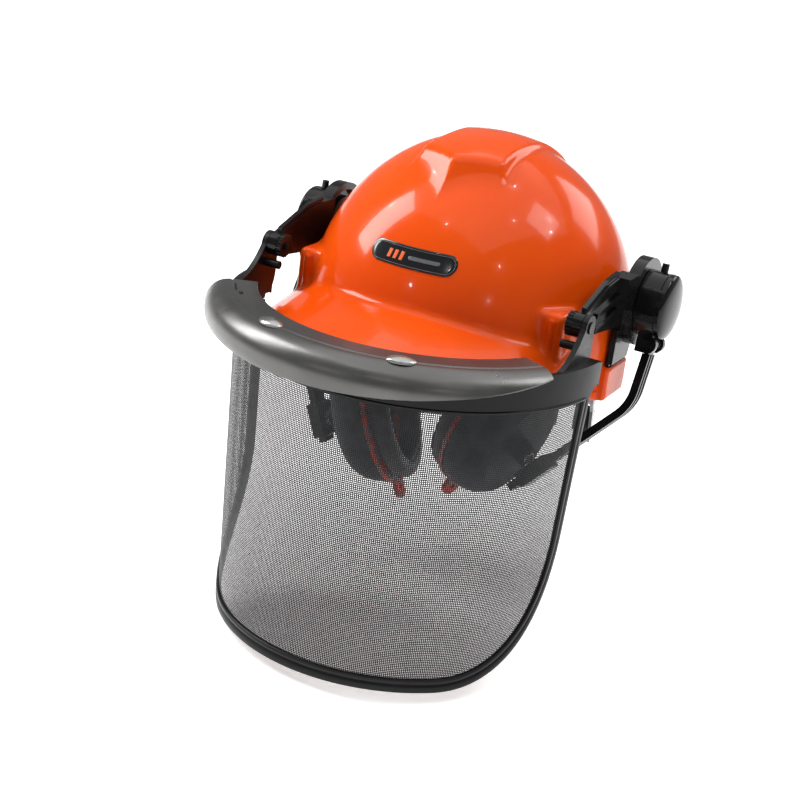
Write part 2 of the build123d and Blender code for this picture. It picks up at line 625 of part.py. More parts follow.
def build_muffs():
    """Both muff groups, each hanging at its own angles."""
    washer = hub_disc(16.5, (122.2, 122.9)) - hub_disc(12.5, (122, 123))
    for side, hang in MUFFS.items():
        hub, arm, slider, cup = muff_places(hang)
        group = {
            "muff_hub": hub * build_drum(),
            "hub_cap": hub * build_cap(),
            "hub_washer": hub * washer,
            "arm_pin": hub * build_arm_pin(),
            "arm_springs": [hub * ring for ring in build_arm_springs()],
            "muff_arm": arm * build_muff_arm(),
            "cup_slider": slider * build_slider(),
            "ball_stud": slider * build_ball_stud(),
            "cup_shell": cup * build_cup_shell(),
            "cup_ring": cup * build_cup_ring(),
            "ear_cushion": cup * build_cushion(),
            "cup_foam": cup * build_foam(),
        }
        for name, shape in group.items():
            if side == "right":
                shape = [mirrored(s) for s in shape] if isinstance(shape, list) else mirrored(shape)
            nodes[f"{name}_{side}"] = shape


nodes["shell"] = build_shell()
nodes["front_badge"] = build_badge()
nodes["headband"] = build_headband()
nodes["sweatband"] = build_sweatband()
nodes["headband_tabs"] = build_hangers()
nodes["rear_band"] = build_rear_band()
nodes["band_rivets"] = build_rivets()
nodes["cradle_strap_across"], nodes["cradle_strap_along"] = build_cradle()
nodes["cradle_keys"] = build_keys()
nodes["crown_pad"] = Pos(0, 0, 89.5) * Cylinder(28, 7)
nodes["ratchet_housing"] = build_ratchet_housing()
nodes["ratchet_knob"] = build_ratchet_knob()
nodes["ratchet_pinion"] = build_pinion()
nodes["strap_tail_left"] = build_strap_tail(1)
nodes["strap_tail_right"] = build_strap_tail(-1)

add_pair("adapter", build_adapter())
add_pair("hub_axle", build_axle())
add_pair("visor_arm", build_visor_arm())

mesh_sheet = visor_sheet(MESH_IN, MESH_OUT, MESH_TOP, 3.0)
trim_top = BAND_LOW - 0.5
trim = visor_sheet(TRIM_IN, TRIM_OUT, trim_top, 0.0) - visor_sheet(118.0, 127.0, trim_top + 5, TRIM_WIDTH)
nodes["visor_mesh"] = mesh_sheet
nodes["visor_trim"] = trim - mesh_sheet
nodes["mesh_clamp"] = visor_ring(TRIM_IN, TRIM_OUT, BAND_LOW, CLAMP_TOP, 87) - mesh_sheet
nodes["visor_band"] = build_visor_band()
nodes["brow_guard"] = build_brow_guard()
nodes["guard_studs"] = build_studs()
elbow_pin = rod(2.5, (102.5, ELBOW_Y, ELBOW_Z), (118.6, ELBOW_Y, ELBOW_Z)) + rod(
    4.0, (118.6, ELBOW_Y, ELBOW_Z), (119.6, ELBOW_Y, ELBOW_Z)
)
fold_peg = rod(2.8, (103.5, -91, 33), (117, -91, 33))
nodes["elbow_pins"] = [elbow_pin, mirrored(elbow_pin)]
nodes["fold_pegs"] = [fold_peg, mirrored(fold_peg)]

build_muffs()

for name, shape in nodes.items():
    solids = shape if isinstance(shape, list) else shape.solids()
    export_step(solids[0] if len(solids) == 1 else Compound(children=list(solids)), f"parts/{name}.step")
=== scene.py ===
import json
import math

import bmesh
import bpy
import numpy as np
from mathutils import Matrix, Vector


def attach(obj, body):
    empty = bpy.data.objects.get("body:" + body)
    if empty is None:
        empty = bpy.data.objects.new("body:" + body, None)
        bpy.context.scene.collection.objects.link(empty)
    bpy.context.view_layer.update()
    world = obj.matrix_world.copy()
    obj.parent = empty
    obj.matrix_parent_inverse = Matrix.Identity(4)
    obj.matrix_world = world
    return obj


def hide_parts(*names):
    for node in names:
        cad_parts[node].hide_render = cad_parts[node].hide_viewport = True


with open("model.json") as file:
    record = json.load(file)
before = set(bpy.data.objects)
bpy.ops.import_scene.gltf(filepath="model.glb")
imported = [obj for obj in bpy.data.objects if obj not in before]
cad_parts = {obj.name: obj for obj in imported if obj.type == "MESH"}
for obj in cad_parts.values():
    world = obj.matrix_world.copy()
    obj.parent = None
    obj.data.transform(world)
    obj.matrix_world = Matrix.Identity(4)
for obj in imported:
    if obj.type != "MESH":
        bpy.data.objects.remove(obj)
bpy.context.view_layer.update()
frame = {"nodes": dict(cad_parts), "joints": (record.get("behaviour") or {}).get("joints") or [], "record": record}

NODES = frame["nodes"]
JOINTS = {joint["name"]: joint for joint in frame["joints"]}
MOUNTS = {mount["name"]: mount for mount in frame["record"]["mounts"]}
SIDES = {"left": 1, "right": -1}
MM = 0.001
MATERIALS = {}


# ---------------------------------------------------------------- materials

def principled(name, colour, roughness, metallic=0.0, coat=0.0, coat_roughness=0.05, specular=0.5, sheen=0.0):
    """A new material in MATERIALS, with its constants on the shader's own sockets."""
    mat = MATERIALS[name] = bpy.data.materials.new(name)
    mat.use_nodes = True
    shader = mat.node_tree.nodes["Principled BSDF"]
    shader.inputs["Base Color"].default_value = (*colour, 1)
    shader.inputs["Roughness"].default_value = roughness
    shader.inputs["Metallic"].default_value = metallic
    shader.inputs["Coat Weight"].default_value = coat
    shader.inputs["Coat Roughness"].default_value = coat_roughness
    shader.inputs["Specular IOR Level"].default_value = specular
    shader.inputs["Sheen Weight"].default_value = sheen
    return mat


def node(mat, kind, **inputs):
    """A new shader node; an underscore in an input's name stands for a space."""
    new = mat.node_tree.nodes.new(kind)
    for key, value in inputs.items():
        new.inputs[key.replace("_", " ")].default_value = value
    return new


def link(mat, out, into):
    mat.node_tree.links.new(out, into)


def place(mat, scale=(1, 1, 1)):
    """The row frame's coordinates, stretched by scale."""
    coords = node(mat, "ShaderNodeTexCoord")
    mapping = node(mat, "ShaderNodeMapping")
    mapping.inputs["Scale"].default_value = scale
    link(mat, coords.outputs["Object"], mapping.inputs["Vector"])
    return mapping.outputs["Vector"]


def noise(mat, scale, detail=3.0, stretch=(1, 1, 1)):
    """A cloudy value; a larger scale is finer."""
    tex = node(mat, "ShaderNodeTexNoise", Scale=scale, Detail=detail, Roughness=0.55)
    link(mat, place(mat, stretch), tex.inputs["Vector"])
    return tex.outputs["Fac"]


def spread(mat, fac, low, high, from_low=0.3, from_high=0.7):
    """A value mapped from one range to another and held at its ends."""
    ramp = node(mat, "ShaderNodeMapRange", From_Min=from_low, From_Max=from_high, To_Min=low, To_Max=high)
    link(mat, fac, ramp.inputs["Value"])
    return ramp.outputs["Result"]


def vary_colour(mat, fac, dark, light, from_low=0.3, from_high=0.7):
    """The base colour runs from dark to light with fac."""
    ramp = node(mat, "ShaderNodeValToRGB")
    ramp.color_ramp.elements[0].position = from_low
    ramp.color_ramp.elements[1].position = from_high
    ramp.color_ramp.elements[0].color = (*dark, 1)
    ramp.color_ramp.elements[1].color = (*light, 1)
    link(mat, fac, ramp.inputs["Fac"])
    link(mat, ramp.outputs["Color"], mat.node_tree.nodes["Principled BSDF"].inputs["Base Color"])


def vary_roughness(mat, fac, low, high):
    """The roughness runs from low to high with fac."""
    link(mat, spread(mat, fac, low, high), mat.node_tree.nodes["Principled BSDF"].inputs["Roughness"])


def bump(mat, height, strength, distance):
    """Height as relief, added on top of any relief that is there already."""
    shader = mat.node_tree.nodes["Principled BSDF"]
    relief = node(mat, "ShaderNodeBump", Strength=strength, Distance=distance)
    link(mat, height, relief.inputs["Height"])
    if shader.inputs["Normal"].links:
        link(mat, shader.inputs["Normal"].links[0].from_socket, relief.inputs["Normal"])
    link(mat, relief.outputs["Normal"], shader.inputs["Normal"])


def plastic(name, colour, roughness, grain=0.0, grain_scale=1400.0, coat=0.0, wear=0.35, specular=0.5):
    """Moulded plastic: cloudy colour, smeared gloss, and a fine spark grain if asked."""
    mat = principled(name, colour, roughness, coat=coat, specular=specular)
    dark = tuple(c * (1 - wear) for c in colour)
    light = tuple(min(1.0, c * (1 + wear)) for c in colour)
    vary_colour(mat, noise(mat, 55, 5), dark, light)
    vary_roughness(mat, noise(mat, 28, 6), roughness * 0.8, min(1.0, roughness * 1.3))
    if grain:
        bump(mat, noise(mat, grain_scale, 2), grain, 0.0002)
    return mat


def weave(name, colour, pitch, sheen=0.3):
    """Woven webbing: crossed sets of rounded threads, pitch in metres."""
    mat = principled(name, colour, 0.85, sheen=sheen, specular=0.25)
    waves = []
    for direction in "XYZ":
        wave = node(mat, "ShaderNodeTexWave", Scale=1.0 / pitch / math.tau * 2, Distortion=0.4, Detail=1.0)
        wave.bands_direction = direction
        link(mat, place(mat), wave.inputs["Vector"])
        waves.append(wave.outputs["Fac"])
    crossed = waves[0]
    for other in waves[1:]:
        add = node(mat, "ShaderNodeMath")
        add.operation = "ADD"
        link(mat, crossed, add.inputs[0])
        link(mat, other, add.inputs[1])
        crossed = add.outputs["Value"]
    # The colour follows the threads' height: darker in the dips between threads, which is painted shade, and
    # lighter on their raised crests, which is painted light.
    dark, light = tuple(c * 0.5 for c in colour), tuple(c * 1.5 for c in colour)
    vary_colour(mat, spread(mat, crossed, 0, 1, 0.3, 2.4), dark, light)
    bump(mat, crossed, 0.6, 0.0003)
    return mat


def make_materials():
    """Every material of the helmet."""
    orange = principled(
        "shell_orange", (0.71, 0.07, 0.003), 0.26, coat=0.2, coat_roughness=0.015, specular=0.1
    )
    vary_colour(orange, noise(orange, 14, 4), (0.67, 0.062, 0.002), (0.74, 0.077, 0.004))
    vary_roughness(orange, noise(orange, 40, 6), 0.12, 0.22)
    bump(orange, noise(orange, 160, 1), 0.03, 0.0002)
    shader = orange.node_tree.nodes["Principled BSDF"]
    shader.inputs["Subsurface Weight"].default_value = 0.06
    shader.inputs["Subsurface Scale"].default_value = 0.004

    guard = principled("guard_silver", (0.115, 0.114, 0.111), 0.3, metallic=0.85)
    vary_colour(guard, noise(guard, 22, 5), (0.1, 0.099, 0.096), (0.132, 0.13, 0.127))
    vary_roughness(guard, noise(guard, 60, 6), 0.26, 0.36)
    bump(guard, noise(guard, 2600, 2), 0.28, 0.00012)

    steel = principled("fastener_steel", (0.62, 0.62, 0.60), 0.3, metallic=1.0)
    vary_colour(steel, noise(steel, 300, 4, stretch=(1, 12, 1)), (0.5, 0.5, 0.48), (0.72, 0.72, 0.7))
    vary_roughness(steel, noise(steel, 120, 5), 0.2, 0.4)
    bump(steel, noise(steel, 900, 3, stretch=(1, 8, 1)), 0.15, 0.0001)

    stud = principled("stud_grey", (0.34, 0.34, 0.33), 0.3, metallic=0.95)
    vary_colour(stud, noise(stud, 90, 5), (0.29, 0.29, 0.28), (0.4, 0.4, 0.39))
    vary_roughness(stud, noise(stud, 200, 5), 0.24, 0.36)
    bump(stud, noise(stud, 2600, 2), 0.15, 0.0001)

    wire = principled("mesh_steel", (0.022, 0.023, 0.025), 0.48, metallic=0.2, specular=0.12)
    vary_colour(wire, noise(wire, 70, 5), (0.017, 0.018, 0.019), (0.03, 0.031, 0.033))
    vary_roughness(wire, noise(wire, 200, 3), 0.3, 0.5)

    plastic("badge_black", (0.007, 0.008, 0.009), 0.14, coat=0.3, wear=0.2, specular=0.3)
    plastic("badge_line", (0.1, 0.107, 0.115), 0.3, wear=0.2)
    plastic("badge_mark", (0.75, 0.12, 0.02), 0.3, wear=0.15)
    plastic("band_plastic", (0.003, 0.003, 0.0032), 0.22, grain=0.05, coat=0.03, specular=0.07)
    plastic("hub_black", (0.004, 0.004, 0.0045), 0.16, grain=0.06, grain_scale=900, coat=0.1, specular=0.2)
    plastic("visor_black", (0.005, 0.005, 0.0055), 0.32, grain=0.12, specular=0.2)
    plastic("trim_black", (0.005, 0.005, 0.0055), 0.34, grain=0.1, specular=0.22)
    plastic("cup_charcoal", (0.014, 0.016, 0.019), 0.46, grain=0.35, grain_scale=1800, specular=0.3)
    plastic("ring_red", (0.60, 0.05, 0.018), 0.4, grain=0.1, wear=0.15)

    skin = principled("cushion_skin", (0.014, 0.014, 0.015), 0.42, coat=0.15, coat_roughness=0.3)
    cells = node(skin, "ShaderNodeTexVoronoi", Scale=900.0)
    link(skin, place(skin), cells.inputs["Vector"])
    vary_colour(skin, noise(skin, 60, 5), (0.009, 0.009, 0.01), (0.022, 0.022, 0.024))
    vary_roughness(skin, noise(skin, 90, 5), 0.32, 0.55)
    bump(skin, cells.outputs["Distance"], 0.35, 0.0002)
    bump(skin, noise(skin, 120, 4), 0.3, 0.0006)

    foam = principled("foam", (0.05, 0.05, 0.055), 0.95, sheen=0.2, specular=0.2)
    pores = node(foam, "ShaderNodeTexVoronoi", Scale=700.0)
    link(foam, place(foam), pores.inputs["Vector"])
    # The colour is darkest in the sunken pits of the pores and lighter on the rims between them, which is painted
    # shade in the pores.
    vary_colour(foam, pores.outputs["Distance"], (0.012, 0.012, 0.014), (0.08, 0.08, 0.088), 0.0, 0.6)
    bump(foam, pores.outputs["Distance"], 0.8, 0.0008)
    weave("sweat_fabric", (0.03, 0.03, 0.033), 0.0011)
    weave("strap_webbing", (0.022, 0.022, 0.025), 0.0016, sheen=0.2)


make_materials()
SLOT_OF = {part["node"]: part["material_slot"] for part in frame["record"]["subparts"]}


# ---------------------------------------------------------------- mesh helpers

def make_piece(name, points_mm, faces, material, body, replaces=()):
    """A new mesh piece from points in millimetres, riding on a body."""
    mesh = bpy.data.meshes.new(name)
    mesh.from_pydata((np.asarray(points_mm, float) * MM).tolist(), [], faces)
    mesh.validate()
    mesh.update()
    mesh.shade_smooth()
    obj = bpy.data.objects.new(name, mesh)
    bpy.context.scene.collection.objects.link(obj)
    mesh.materials.append(MATERIALS[material])
    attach(obj, body)
    if replaces:
        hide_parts(*replaces)
    return obj


def grid_faces(rows, columns, wrap_rows=False, wrap_columns=False):
    """Quads over a grid of points stored row by row."""
    i = np.arange(rows if wrap_rows else rows - 1)[:, None]
    j = np.arange(columns if wrap_columns else columns - 1)[None, :]
    below, right = (i + 1) % rows, (j + 1) % columns
    quads = np.stack([i * columns + j, i * columns + right, below * columns + right, below * columns + j], -1)
    return quads.reshape(-1, 4).tolist()


def grid_piece(name, grid, material, body, replaces=(), wrap_rows=False, wrap_columns=False, capped=False):
    """A piece from a grid of points. capped closes both ends of a tube with one face each."""
    rows, columns = grid.shape[:2]
    faces = grid_faces(rows, columns, wrap_rows, wrap_columns)
    if capped:
        faces.append(list(range(columns))[::-1])
        faces.append([(rows - 1) * columns + k for k in range(columns)])
    return make_piece(name, grid.reshape(-1, 3), faces, material, body, replaces)


def outward(obj):
    """Turns a closed piece's faces outward."""
    work = bmesh.new()
    work.from_mesh(obj.data)
    bmesh.ops.recalc_face_normals(work, faces=work.faces)
    work.to_mesh(obj.data)
    work.free()


def bevel(obj, width_mm, angle):
    """Rounded edges where faces meet at more than the angle in degrees."""
    mod = obj.modifiers.new("rounded edges", "BEVEL")
    mod.width = width_mm * MM
    mod.segments = 2
    mod.limit_method = "ANGLE"
    mod.angle_limit = math.radians(angle)
    mod.harden_normals = True
    mod.use_clamp_overlap = True


def tube(path, radius, sides):
    """A grid of rings round a path."""
    path = np.asarray(path, float)
    along = np.gradient(path, axis=0)
    along /= np.linalg.norm(along, axis=1)[:, None]
    side = np.cross(along, (0.3, 0.2, 0.93))
    side /= np.linalg.norm(side, axis=1)[:, None]
    up = np.cross(side, along)
    turn = np.linspace(0, math.tau, sides, endpoint=False)
    ring = np.cos(turn)[None, :, None] * side[:, None] + np.sin(turn)[None, :, None] * up[:, None]
    return path[:, None] + radius * ring


# ---------------------------------------------------------------- shell

DOME = np.array([112.0, 120.0, 125.0])
EQUATOR_Z, WALL = 7.0, 3.0
# Corners of the crown ridge on its right half, and the curves of its top
SHOULDER, BACK_LOW, BACK_HIGH = (38.4, -61.9, 95), (38.4, 75, 95), (24.9, 45, 140)
PROW_LOW, PROW_HIGH = (0, -81.1, 95), (0, -53, 140)
RIDGE_TOP_Z, RIDGE_TOP_Y, RIDGE_FOOT = 134.3, 3.0, 92.0
FALL_FRONT, FALL_BACK, FALL_SIDE = 514, 190, 276
VISOR_Y = -78.0
PEAK_SLOPE = math.atan(0.2)
PEAK_CREASE_Y, PEAK_CREASE_Z, PEAK_BACK_Y = -116.0, 35.0, -40
PEAK_ARCH, PEAK_RADIUS, PEAK_HALF_WIDTH, PEAK_FOLD_X = 195, 114.0, 104, 80
CROWN_Z = 85  # above this the outer skin is settled on its own
SHELL_VOXEL = 1.55
RIM_Y, RIM_Z = (-140, -72, -45, 0, 60, 140), (8, 8, -20, -23, -29, -31)


def least(a, b, blend_width):
    """The smaller of two distances, with a fillet where they meet."""
    h = np.maximum(blend_width - np.abs(a - b), 0) / blend_width
    return np.minimum(a, b) - h * h * blend_width / 4


def most(a, b, blend_width):
    """The larger of two distances, with a rounded edge where they meet."""
    return -least(-a, -b, blend_width)


def dome_distance(p, inset):
    """Distance outside the dome and its straight skirt, drawn in by the inset."""
    q = p - (0, 0, EQUATOR_Z)
    q = np.stack([q[:, 0], q[:, 1], np.maximum(q[:, 2], 0)], 1)
    radii = DOME - inset
    near = np.linalg.norm(q / radii, axis=1)
    slope = np.linalg.norm(q / radii**2, axis=1)
    return near * (near - 1) / np.maximum(slope, 1e-9)


def box_distance(p, low, high, rounding):
    """Distance outside a box with rounded edges."""
    low, high = np.array(low, float), np.array(high, float)
    q = np.abs(p - (low + high) / 2) - (high - low) / 2 + rounding
    return np.linalg.norm(np.maximum(q, 0), axis=1) + np.minimum(q.max(1), 0) - rounding


def plane_distance(p, a, b, c):
    """Distance in front of the plane through three points."""
    a, b, c = (np.array(v, float) for v in (a, b, c))
    normal = np.cross(b - a, c - a)
    return (p - a) @ (normal / np.linalg.norm(normal))


def folded(p):
    """Points moved to the right half of the helmet, which is the same on both sides."""
    return np.abs(p * (1, 0, 0)) + p * (0, 1, 1)


def ridge_distance(p):
    """The raised panel on the crown: two sloped sides, a prow of two facets and a curved top."""
    q = folded(p)
    flip = np.array((-1, 1, 1))
    side = plane_distance(q, SHOULDER, BACK_LOW, BACK_HIGH)
    prow = plane_distance(q, PROW_LOW, SHOULDER, PROW_HIGH)
    back = plane_distance(q, flip * BACK_LOW, flip * BACK_HIGH, BACK_LOW)
    along = p[:, 1] - RIDGE_TOP_Y
    fall = along**2 / np.where(along < 0, FALL_FRONT, FALL_BACK) + p[:, 0] ** 2 / FALL_SIDE
    top = p[:, 2] - RIDGE_TOP_Z + fall
    low = most(side, prow, 3.0)
    return np.maximum(most(most(low, top, 3.0), back, 8.0), RIDGE_FOOT - p[:, 2])


def peak_distance(p):
    """The arched brim, with a crease on each side where it turns down more steeply."""
    back_z = PEAK_CREASE_Z + (PEAK_BACK_Y - PEAK_CREASE_Y) * math.tan(PEAK_SLOPE)
    height = -(p[:, 1] - PEAK_BACK_Y) * math.sin(PEAK_SLOPE) + (p[:, 2] - back_z) * math.cos(PEAK_SLOPE)
    across = np.abs(p[:, 0])
    height = height + 0.14 * -least(-(across - PEAK_FOLD_X), np.zeros(len(p)), 2.0)
    top = np.hypot(across, height + PEAK_ARCH) - PEAK_ARCH
    under = PEAK_ARCH - np.hypot(across, height + WALL + PEAK_ARCH)
    plan = np.hypot(p[:, 0], p[:, 1] - VISOR_Y) - PEAK_RADIUS
    limits = np.maximum(np.maximum(across - PEAK_HALF_WIDTH, p[:, 1] + 50), -200 - p[:, 1])
    return most(most(top, under, 1.0), most(plan, limits, 2.0), 1.4)


def outer_distance(p):
    """Distance outside the shell, taken as solid."""
    q = folded(p)
    rim = np.interp(p[:, 1], RIM_Y, RIM_Z) - p[:, 2]
    bead = 1.1 * np.clip((rim + 6.5) / 1.2, 0, 1)
    dome = dome_distance(p, 0)
    body = most(dome - bead, rim, 1.4)
    body = least(body, ridge_distance(p), 3.5)
    body = least(body, peak_distance(p), 5.0)
    buttress = box_distance(q, (60, -77, 4), (98, -38, 45), 4.0)
    for low, high in ((66, 70), (88, 92)):
        buttress = least(buttress, box_distance(q, (low, -78.4, 8), (high, -70, 41), 1.2), 2.0)
    body = least(body, buttress, 4.0)
    return least(body, box_distance(q, (104, -27, -21), (116.3, 10, 2), 2.0), 3.0)


def shell_distance(p):
    """Distance outside the hollow shell and its two slots."""
    q = folded(p)
    body = most(outer_distance(p), -dome_distance(p, WALL), 1.2)
    return most(body, -box_distance(q, (112.3, -22.2, -16), (114.5, 6.2, 9), 0.4), 0.6)


def slope_of(distance, p, step=0.02):
    """The gradient of a distance by central differences."""
    return np.stack([
        (distance(p + step * axis) - distance(p - step * axis)) / (2 * step) for axis in np.eye(3)
    ], 1)


def settle(distance, p, rounds):
    """Moves points onto the surface where the distance is zero."""
    for _ in range(rounds):
        slope = slope_of(distance, p)
        step = distance(p) / np.maximum((slope**2).sum(1), 0.2)
        p = p - np.clip(step, -1.5, 1.5)[:, None] * slope
    return p


def remeshed(node_name, voxel_mm):
    """An even quad mesh over a CAD node: its points in millimetres and its faces."""
    copy = bpy.data.objects.new("remesh", NODES[node_name].data.copy())
    bpy.context.scene.collection.objects.link(copy)
    mod = copy.modifiers.new("remesh", "REMESH")
    mod.mode, mod.voxel_size, mod.adaptivity = "VOXEL", voxel_mm * MM, 0.0
    graph = bpy.context.evaluated_depsgraph_get()
    mesh = bpy.data.meshes.new_from_object(copy.evaluated_get(graph))
    points = np.zeros(len(mesh.vertices) * 3)
    mesh.vertices.foreach_get("co", points)
    faces = [tuple(polygon.vertices) for polygon in mesh.polygons]
    bpy.data.objects.remove(copy)
    bpy.data.meshes.remove(mesh)
    return points.reshape(-1, 3) / MM, faces


def make_shell():
    """The shell as one smooth skin that follows shell_distance."""
    points, faces = remeshed("shell", SHELL_VOXEL)
    outer_crown = (points[:, 2] > CROWN_Z) & (dome_distance(points, 0) > -WALL / 2)
    points[outer_crown] = settle(outer_distance, points[outer_crown], 9)
    points[~outer_crown] = settle(shell_distance, points[~outer_crown], 6)
    shell = make_piece("shell_skin", points, faces, "shell_orange", "helmet", ["shell"])
    normals = slope_of(shell_distance, points)
    normals /= np.maximum(np.linalg.norm(normals, axis=1), 1e-9)[:, None]
    shell.data.normals_split_custom_set_from_vertices(normals.tolist())


def on_dome(x, z, lift):
    """Points on the front of the dome, lifted off it."""
    half_x, half_y, half_z = DOME + lift
    left = np.maximum(1 - (x / half_x) ** 2 - ((z - EQUATOR_Z) / half_z) ** 2, 0)
    return np.stack([x, -half_y * np.sqrt(left), z], -1)


def pill_outline(length, height, count):
    """Points evenly round a flat pill, in (x, z)."""
    radius, straight = height / 2, length - height
    whole = 2 * straight + math.tau * radius
    x, z = np.zeros(count), np.zeros(count)
    for k in range(count):
        run = whole * k / count
        if run < straight:
            x[k], z[k] = run - straight / 2, -radius
            continue
        run -= straight
        if run < math.pi * radius:
            x[k], z[k] = straight / 2 + radius * math.sin(run / radius), -radius * math.cos(run / radius)
            continue
        run -= math.pi * radius
        if run < straight:
            x[k], z[k] = straight / 2 - run, radius
            continue
        run -= straight
        x[k], z[k] = -straight / 2 - radius * math.sin(run / radius), radius * math.cos(run / radius)
    return x, z


def dome_patch(name, x, z, lift, thick, material):
    """A thin plate on the dome, from an outline round its own middle."""
    rings = []
    mid_x, mid_z = x.mean(), z.mean()
    steps = [(1.0, -0.1), (1.0, thick * 0.6), (0.985, thick)] + [(k / 8, thick) for k in range(7, 0, -1)]
    for share, rise in steps:
        rings.append(on_dome(mid_x + (x - mid_x) * share, mid_z + (z - mid_z) * share, lift + rise))
    grid = np.stack(rings)
    faces = grid_faces(len(rings), len(x), wrap_columns=True)
    faces.append(list(range(len(x))))
    faces.append([(len(rings) - 1) * len(x) + k for k in range(len(x))][::-1])
    patch = make_piece(name, grid.reshape(-1, 3), faces, material, "helmet")
    outward(patch)
    return patch


def make_badge():
    """A dark pill with a light edge line and a plain mark of three slanted bars."""
    middle_z = 66.0
    x, z = pill_outline(61, 13, 96)
    badge = dome_patch("badge_pill", x, z + middle_z, 0.0, 0.45, "badge_black")
    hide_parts("front_badge")
    line_x, line_z = pill_outline(58.4, 10.4, 96)
    line = on_dome(line_x, line_z + middle_z, 0.5)
    line = np.vstack([line, line[:1]])
    grid = tube(line, 0.22, 6)
    grid_piece("badge_edge", grid[:-1], "badge_line", "helmet", wrap_rows=True, wrap_columns=True)
    for k, shift in enumerate((-16.0, -11.5, -7.0)):
        bar_x = np.array([-1.4, 1.0, 1.9, -0.5]) + shift
        bar_z = np.array([-2.6, -2.6, 2.6, 2.6]) + middle_z
        dome_patch(f"badge_bar_{k}", bar_x, bar_z, 0.42, 0.2, "badge_mark")
    stripe_x, stripe_z = pill_outline(22, 2.2, 40)
    dome_patch("badge_stripe", stripe_x + 9, stripe_z + middle_z, 0.42, 0.2, "badge_line")


# ---------------------------------------------------------------- brow guard

def arc_through(a, b, c, count):
    """Points on the circle through three (r, z) points, from a to c."""
    (ax, ay), (bx, by), (cx, cy) = a, b, c
    d = 2 * (ax * (by - cy) + bx * (cy - ay) + cx * (ay - by))
    ux = ((ax**2 + ay**2) * (by - cy) + (bx**2 + by**2) * (cy - ay) + (cx**2 + cy**2) * (ay - by)) / d
    uy = ((ax**2 + ay**2) * (cx - bx) + (bx**2 + by**2) * (ax - cx) + (cx**2 + cy**2) * (bx - ax)) / d
    start, end = math.atan2(ay - uy, ax - ux), math.atan2(cy - uy, cx - ux)
    if end > start:
        end -= math.tau
    turn = np.linspace(start, end, count)
    radius = math.hypot(ax - ux, ay - uy)
    return np.stack([ux + radius * np.cos(turn), uy + radius * np.sin(turn)], 1)


def turned(profile, angle):
    """A profile of (r, z) points turned about the visor's line. Angle 0 faces forward, in radians."""
    r, z = profile[..., 0], profile[..., 1]
    return np.stack([r * np.sin(angle), VISOR_Y - r * np.cos(angle), z], -1)


GUARD_HALF_ANGLE = math.radians(62)
GUARD_TOP, GUARD_WALL = 31.0, 1.9


def guard_profile(angle):
    """The guard's closed section at one angle: plate, seam groove, and roll cut by the rising lower edge."""
    roll = arc_through((127, GUARD_TOP), (142.5, 15.5), (137.9, 4.5), 160)
    x, y = roll[:, 0] * math.sin(angle), VISOR_Y - roll[:, 0] * math.cos(angle)
    cut = 8 + 0.17 * (y + 220) + 0.05 * x
    kept = roll[roll[:, 1] >= cut]
    share = np.linspace(0, len(kept) - 1, 34)
    roll = np.stack([np.interp(share, range(len(kept)), kept[:, k]) for k in (0, 1)], 1)
    plate = np.full((8, 2), GUARD_TOP)
    plate[:, 0] = (109.4, 113, 118, 123, 125.2, 125.7, 126.1, 126.6)
    plate[5:7, 1] -= 0.5
    outer = np.vstack([plate, roll])
    along = np.gradient(outer, axis=0)
    along /= np.linalg.norm(along, axis=1)[:, None]
    normal = np.stack([along[:, 1], -along[:, 0]], 1)
    inner = outer + GUARD_WALL * normal
    inner[:8, 1] = GUARD_TOP - 2
    tip = (outer[-1] + inner[-1]) / 2 + 0.5 * along[-1]
    back = np.array([(109.0, 30.4), (109.0, 29.6)])
    return np.vstack([back[:1], outer, [tip], inner[::-1], back[1:]])


def make_guard():
    """The brow guard, and two short dark slits in the right end of its plate."""
    angles = np.linspace(-GUARD_HALF_ANGLE, GUARD_HALF_ANGLE, 181)
    grid = np.stack([turned(guard_profile(a), a) for a in angles])
    guard = grid_piece(
        "guard_roll", grid, "guard_silver", "visor", ["brow_guard"], wrap_columns=True, capped=True
    )
    outward(guard)
    bevel(guard, 0.5, 50)
    for k, (angle, half, middle, wide) in enumerate(((-54.5, 3.6, 123.6, 0.7), (-48.5, 1.3, 121.4, 1.3))):
        turn = np.radians(np.linspace(angle - half, angle + half, 14))
        radius = middle + wide * np.sqrt(np.maximum(1 - np.linspace(-1, 1, 14) ** 6, 0.02))
        low = 2 * middle - radius
        corners = ((low, 31.02), (low, 31.2), (radius, 31.2), (radius, 31.02))
        rows = [np.stack([reach, np.full(14, z)], 1) for reach, z in corners]
        grid = np.stack([turned(row, turn) for row in rows], 1)
        outward(grid_piece(f"guard_slit_{k}", grid, "trim_black", "visor", wrap_columns=True, capped=True))


# ---------------------------------------------------------------- visor

SHEET_R = 122.12
SHEET_TAPER, MESH_TOP = 0.0335, 14.0
VISOR_BOTTOM = -195.0
VISOR_HALF_ANGLE = math.radians(91)
CORNER_RADIUS = 98.0
TRIM_TOP = 1.5
WIRE_PITCH, WIRE_WIDTH, WIRE_RISE = 1.3, 0.7, 0.11


def edge_path(inset):
    """The visor's outline as (angle, z), from the top of one side round the bottom to the other."""
    half = VISOR_HALF_ANGLE - inset / SHEET_R
    radius = CORNER_RADIUS - inset
    centre = VISOR_HALF_ANGLE - CORNER_RADIUS / SHEET_R
    centre_z = VISOR_BOTTOM + CORNER_RADIUS
    side = np.stack([np.full(40, half), np.linspace(TRIM_TOP, centre_z, 40)], 1)
    turn = np.linspace(0, math.pi / 2, 40)
    corner = np.stack([centre + radius * np.cos(turn) / SHEET_R, centre_z - radius * np.sin(turn)], 1)
    bottom = np.stack([np.linspace(centre, 0, 60), np.full(60, VISOR_BOTTOM + inset)], 1)
    right = np.vstack([side, corner[1:], bottom[1:]])
    return np.vstack([right, right[:-1][::-1] * (-1, 1)])


